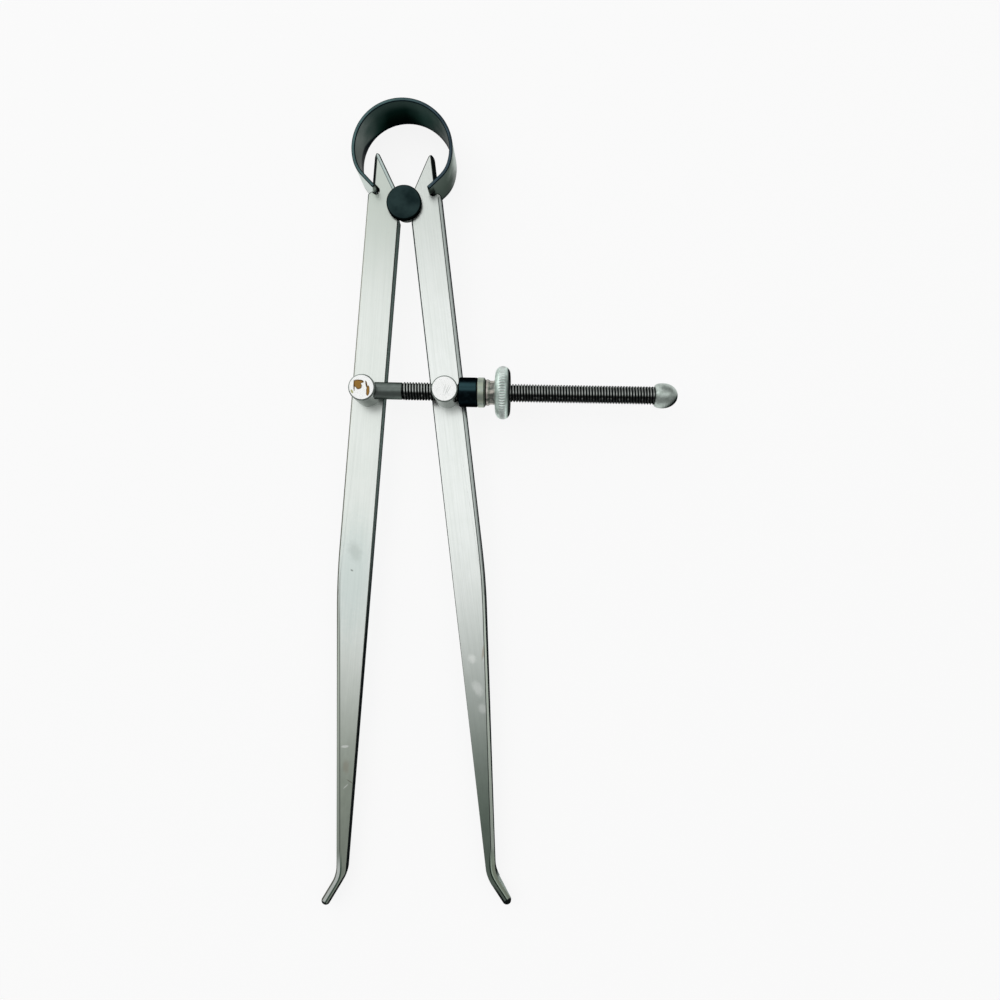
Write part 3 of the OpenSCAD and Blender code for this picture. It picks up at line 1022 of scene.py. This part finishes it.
@dataclass
class BowSpring:
    """Bow spring in two halves that meet at the crown, with extra cuts across them near the fulcrum."""

    layout: Layout
    bend_from: float = 12.0 * MM
    bend_to: float = 4.3 * MM
    cut_step: float = 0.9 * MM
    edge: float = 0.24 * MM
    left_reach: float = 0.8 * MM
    fork_half: float = 2.5 * MM
    weld: float = 1e-7

    def reach(self, mesh: bmesh.types.BMesh) -> None:
        """Pushes the left end's edge between its prongs further into its notch.

        Args:
            mesh: The whole strip.
        """
        low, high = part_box("bow_spring")
        middle = (low + high) / 2
        inward = Vector((1.0, -1.0, 0.0)).normalized()
        inner = [vert for vert in mesh.verts if abs(vert.co.z - middle.z) < self.fork_half]
        fork = [vert for vert in inner if vert.co.x < middle.x]
        fork.sort(key=lambda vert: vert.co.dot(inward))
        for vert in fork[:len(fork) // 2]:
            vert.co += inward * self.left_reach

    def half(self, side: Side, material: bpy.types.Material) -> None:
        """Builds one half of the strip from its CAD form, with extra cuts across it near the fulcrum.

        Args:
            side: The half to build.
            material: Its finish.
        """
        mesh = bmesh.new()
        mesh.from_mesh(frame["nodes"]["bow_spring"].data)
        bmesh.ops.remove_doubles(mesh, verts=mesh.verts, dist=self.weld)
        bmesh.ops.dissolve_limit(mesh, angle_limit=FLAT, verts=mesh.verts, edges=mesh.edges)
        self.reach(mesh)
        sharp = [edge for edge in mesh.edges if edge.calc_face_angle(0.0) > SHARP]
        bmesh.ops.bevel(mesh, geom=sharp, offset=self.edge, segments=EDGE_STEPS, profile=0.5,
                        affect="EDGES")
        low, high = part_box("bow_spring")
        crown = Vector(((low.x + high.x) / 2, 0.0, 0.0))
        cut = bmesh.ops.bisect_plane(mesh, geom=mesh.verts[:] + mesh.edges[:] + mesh.faces[:],
                                     plane_co=crown, plane_no=(side.value, 0.0, 0.0), clear_inner=True)
        border = [part for part in cut["geom_cut"] if isinstance(part, bmesh.types.BMEdge)]
        bmesh.ops.edgenet_fill(mesh, edges=border)
        level = self.layout.fulcrum.y
        while level < self.layout.fulcrum.y + self.bend_from:
            bmesh.ops.bisect_plane(mesh, geom=mesh.verts[:] + mesh.edges[:] + mesh.faces[:],
                                   plane_co=(0.0, level, 0.0), plane_no=(0.0, 1.0, 0.0))
            level += self.cut_step
        name = side.name.lower()
        piece = finish_mesh("bow_half_" + name, mesh)
        piece.data.materials.append(material)
        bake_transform(piece)
        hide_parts("bow_spring")

    def build(self) -> None:
        """Builds both halves."""
        low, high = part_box("bow_spring")
        radius = (high.x - low.x) / 2
        centre = Vector(((low.x + high.x) / 2, high.y - radius, (low.z + high.z) / 2))
        material = SpringOxide("spring_oxide", centre).make()
        for side in Side:
            self.half(side, material)
        LOG.info("bow spring in two halves")


@dataclass
class Studio:
    """Pale floor, soft light from above and one large lamp, in metres and watts."""

    floor_half: float = 3.0
    floor_gap: float = 0.05 * MM
    floor_colour: Colour = (0.95, 0.95, 0.95)
    shade_share: float = 0.13
    panel_near: Pair = (-0.38, -0.02)
    panel_far: Pair = (0.62, 0.30)
    panel_side: Pair = (1.9, 0.9)
    strengths: Pair = (0.30, 1.10)
    horizon: float = 0.02
    lamp_place: tuple[float, float, float] = (-0.9, 1.15, 0.75)
    lamp_size: float = 2.0
    lamp_watts: float = 13.0

    def floor(self) -> None:
        """Lays the floor under the spring's rim and the toes."""
        rim_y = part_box("bow_spring")[0].y
        toe_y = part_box("right_leg")[0].y
        toe_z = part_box("right_leg")[0].z
        slope = math.atan2(toe_z, rim_y - toe_y)
        mesh = bmesh.new()
        bmesh.ops.create_grid(mesh, x_segments=1, y_segments=1, size=self.floor_half)
        place = Matrix.Translation((0.0, rim_y, -self.floor_gap)) @ Matrix.Rotation(-slope, 4, "X")
        bmesh.ops.transform(mesh, matrix=place, verts=mesh.verts)
        piece = finish_mesh("floor", mesh)
        graph = Graph.of_material("pale_floor")
        matt = graph.node("BsdfDiffuse", {"Color": self.floor_colour}).outputs[0]
        white = graph.node("Emission").outputs[0]
        path = graph.node("LightPath").outputs
        seen = graph.math("MAXIMUM", path["Is Camera Ray"], path["Is Glossy Ray"])
        seen = graph.math("MAXIMUM", seen, path["Is Transmission Ray"])
        share = graph.times(seen, 1.0 - self.shade_share)
        surface = graph.node("MixShader", {0: share, 1: matt, 2: white}).outputs[0]
        graph.node("OutputMaterial", {"Surface": surface})
        piece.data.materials.append(graph.material)

    def sky(self) -> None:
        """Sets a soft overhead panel of light in a dimmer room."""
        world = bpy.data.worlds.new("studio")
        bpy.context.scene.world = world
        world.use_nodes = True
        world.node_tree.nodes.clear()
        graph = Graph(world.node_tree)
        x, y, z = graph.split(graph.node("TexCoord").outputs["Generated"])
        up = graph.math("MAXIMUM", z, self.horizon)
        slope = graph.math("DIVIDE", y, up)
        wide = graph.math("ABSOLUTE", graph.math("DIVIDE", x, up))
        panel = graph.times(graph.span(slope, *self.panel_near), graph.span(slope, *self.panel_far),
                            graph.span(wide, *self.panel_side))
        values = {"Color": (1.0, 1.0, 1.0), "Strength": graph.scaled(panel, *self.strengths)}
        light = graph.node("Background", values).outputs[0]
        graph.node("OutputWorld", {"Surface": light})

    def lamp(self) -> None:
        """Adds the square area lamp, aimed at the caliper."""
        data = bpy.data.lights.new("key", "AREA")
        data.size = self.lamp_size
        data.energy = self.lamp_watts
        piece = bpy.data.objects.new("key", data)
        piece.location = self.lamp_place
        piece.rotation_euler = (-Vector(self.lamp_place)).to_track_quat("-Z", "Y").to_euler()
        bpy.context.scene.collection.objects.link(piece)

    def build(self) -> None:
        """Builds the floor, the sky and the lamp."""
        self.floor()
        self.sky()
        self.lamp()
        LOG.info("studio set")


@dataclass
class ReferenceView:
    """Camera that looks straight down on the caliper."""

    layout: Layout
    image_px: float = 1000.0
    axis_px: Pair = (532.0, 557.0)
    fulcrum_px: Pair = (404.6, 204.3)
    mm_per_px: float = 0.2872
    height: float = 222.0 * MM
    roll: float = math.radians(0.95)
    sensor_mm: float = 36.0
    clip: float = 5.0 * MM

    def build(self) -> None:
        """Makes the scene's camera."""
        data = bpy.data.cameras.new("reference_view")
        scale = self.mm_per_px * MM
        data.sensor_width = self.sensor_mm
        data.lens = self.height / scale / self.image_px * self.sensor_mm
        data.shift_x = 0.5 - self.axis_px[0] / self.image_px
        data.shift_y = self.axis_px[1] / self.image_px - 0.5
        data.clip_start = self.clip
        across = (self.axis_px[0] - self.fulcrum_px[0]) * scale
        down = (self.axis_px[1] - self.fulcrum_px[1]) * scale
        foot = Matrix.Rotation(-self.roll, 3, "Z") @ Vector((across, -down, 0.0))
        camera = bpy.data.objects.new("reference_view", data)
        face = self.layout.fulcrum + foot
        camera.location = (face.x, face.y, self.layout.leg_face_z + self.height)
        camera.rotation_euler = (0.0, 0.0, -self.roll)
        bpy.context.scene.collection.objects.link(camera)
        bpy.context.scene.camera = camera


# Colours of marks and of painted shade on edges, widths of broken edges, and the way the knob's painted
# shade faces
BROWN: Colour = (0.255, 0.140, 0.036)
UMBER: Colour = (0.095, 0.050, 0.014)
GREY_MARK: Colour = (0.30, 0.34, 0.31)
CHALK: Colour = (0.90, 0.93, 0.90)
GREY_EDGE: Colour = (0.38, 0.42, 0.40)
BLACK: Colour = (0.012, 0.016, 0.016)
OLIVE: Colour = (0.22, 0.23, 0.19)
SCRATCH: Colour = (0.46, 0.49, 0.47)
TURNED_EDGE_MM = 0.12
SLEEVE_EDGE_MM = 0.1
KNOB_SHADE_WAY: Pair = (0.78, -0.62)
# Bands of painted shade and painted highlight along each toe's hollow edge, from the widest in: dark,
# pale, then olive.
LEFT_TOE = (EdgeBand(1.5, (0.10, 0.16, 0.12)), EdgeBand(1.05, (0.92, 0.98, 0.93)), EdgeBand(0.25, OLIVE))
RIGHT_TOE = (EdgeBand(1.6, (0.03, 0.05, 0.035)), EdgeBand(1.2, (0.62, 0.76, 0.62)),
             EdgeBand(0.95, (0.37, 0.43, 0.335)))

# A patch's numbers: place, half sizes, colour, strength, turn in degrees, raggedness, softness
LEFT_MARKS = (
    # The first patch is painted shade: a broad darker patch round the knee.
    Spot(-6.2, -108.0, 5.5, 15.0, (0.42, 0.55, 0.54), 0.32, 0.0, 1.0, 0.7),
    Spot(-6.15, -100.5, 1.6, 2.6, GREY_MARK, 0.28, 20.0, 1.2, 0.6),
    Spot(-6.57, -106.0, 0.42, 0.24, (0.16, 0.18, 0.16), 0.75, -25.0, 0.6, 0.4),
    Spot(-4.47, -156.6, 1.0, 0.35, CHALK, 0.65, 10.0, 0.9, 0.4),
    Spot(-3.72, -162.3, 0.8, 1.8, (0.33, 0.27, 0.20), 0.35, 5.0, 1.0, 0.6),
    Spot(-2.23, -166.5, 1.1, 0.13, (0.20, 0.19, 0.15), 0.8, -28.0, 0.4, 0.3),
    Spot(-3.3, -168.0, 0.9, 0.16, CHALK, 0.5, 48.0, 0.5, 0.3),
)
RIGHT_MARKS = (
    Spot(7.99, -129.9, 0.45, 2.3, (0.40, 0.35, 0.27), 0.65, -18.0, 0.9, 0.4),
    Spot(8.15, -131.5, 0.18, 1.4, CHALK, 0.7, -18.0, 0.5, 0.3),
    Spot(4.3, -131.8, 1.0, 1.2, CHALK, 0.45, 30.0, 1.2, 0.6),
    Spot(5.03, -140.6, 1.1, 2.2, CHALK, 0.40, 24.0, 1.3, 0.6),
    Spot(5.8, -146.5, 1.0, 1.4, CHALK, 0.30, 24.0, 1.3, 0.6),
)
LEFT_TONE = LegTone(
    face=(0.83, 0.86, 0.835), toe=(0.45, 0.51, 0.43), fade=(-120.0, -174.0), head_share=0.66,
    outer_line=(OLIVE, OLIVE), strip_shares=(0.0, 0.8), spots=LEFT_MARKS, toe_bands=LEFT_TOE,
    sole_from=(-186.0, -190.0), sole_over=(-0.45, -0.65),
)
RIGHT_TONE = LegTone(
    face=(0.95, 0.975, 0.965), toe=(0.20, 0.255, 0.21), fade=(-92.0, -185.0), head_share=0.30,
    outer_line=(GREY_EDGE, BLACK), strip_shares=(1.0, 1.0), spots=RIGHT_MARKS, toe_bands=RIGHT_TOE,
    sole_from=(-196.0, -200.0), sole_over=(-0.75, -0.95),
)
LEFT_HEAD_MARKS = (
    Spot(-0.62, 1.55, 1.45, 0.50, UMBER, 1.0, -4.0, 0.6, 0.10),
    Spot(-0.95, 0.75, 0.95, 1.50, UMBER, 1.0, 30.0, 0.7, 0.10),
    Spot(-1.98, 0.45, 0.18, 1.45, UMBER, 1.0, 0.0, 0.5, 0.15),
    Spot(-0.75, 1.45, 1.15, 0.34, BROWN, 1.0, -4.0, 0.6, 0.20),
    Spot(-1.00, 0.80, 0.76, 1.25, BROWN, 1.0, 30.0, 0.7, 0.20),
    Spot(1.42, 0.75, 0.24, 1.00, UMBER, 1.0, 10.0, 0.5, 0.12),
    Spot(1.80, -1.05, 0.46, 1.55, UMBER, 1.0, -5.0, 0.7, 0.12),
    Spot(1.80, -1.05, 0.32, 1.30, BROWN, 1.0, -5.0, 0.7, 0.20),
    Spot(-2.60, -1.15, 0.30, 0.55, (0.30, 0.31, 0.10), 0.85, 25.0, 0.6, 0.25),
)
RIGHT_HEAD_MARKS = (
    Spot(0.7, -0.4, 0.14, 1.5, SCRATCH, 0.55, -24.0, 0.8, 0.5),
    Spot(1.3, -0.2, 0.12, 1.2, SCRATCH, 0.50, -30.0, 0.8, 0.5),
    Spot(0.1, 0.1, 0.16, 1.3, SCRATCH, 0.45, -16.0, 0.8, 0.5),
)


def main() -> None:
    """Builds the classes in order."""
    logging.basicConfig(level=logging.INFO, format="%(message)s")
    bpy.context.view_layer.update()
    bpy.context.scene.view_settings.view_transform = "Standard"
    layout = Layout.from_frame(frame["joints"])
    ReferenceView(layout).build()
    Studio().build()
    Leg(layout, Side.LEFT, LEFT_TONE).dress()
    Leg(layout, Side.RIGHT, RIGHT_TONE).dress()
    dress("fulcrum_spool", OxideSteel("fulcrum_oxide").make(), TURNED_EDGE_MM)
    BowSpring(layout).build()
    left_plate = BrightPlate("left_stud_plate", layout.left_stud, LEFT_HEAD_MARKS)
    dress("left_stud", left_plate.make(), TURNED_EDGE_MM)
    right_plate = BrightPlate("right_stud_plate", layout.right_stud, RIGHT_HEAD_MARKS)
    dress("right_stud", right_plate.make(), TURNED_EDGE_MM)
    Screw(layout).build()
    # The washer and the nut get painted shade on their faces along the screw, the knob on its faces
    # towards its end and -Y.
    axis = layout.screw_axis
    knob_shade_way = (axis * KNOB_SHADE_WAY[0] + Vector((0.0, KNOB_SHADE_WAY[1], 0.0))).normalized()
    dress("end_knob", TurnedPlate("end_knob_plate", layout, knob_shade_way, mottle=0.9).make())
    dress("thrust_washer", TurnedPlate("thrust_washer_plate", layout, axis, (0.42, 0.475, 0.375)).make())
    nut = TurnedPlate("adjusting_nut_plate", layout, axis, (0.74, 0.87, 0.81), crest=(7.12, 7.30),
                      neck=(37.0, 36.4), tint=(0.56, 0.67, 0.61))
    dress("adjusting_nut", nut.make())
    dress("thrust_sleeve", BlackGloss("sleeve_black").make(), SLEEVE_EDGE_MM)


if __name__ == "__main__":
    main()
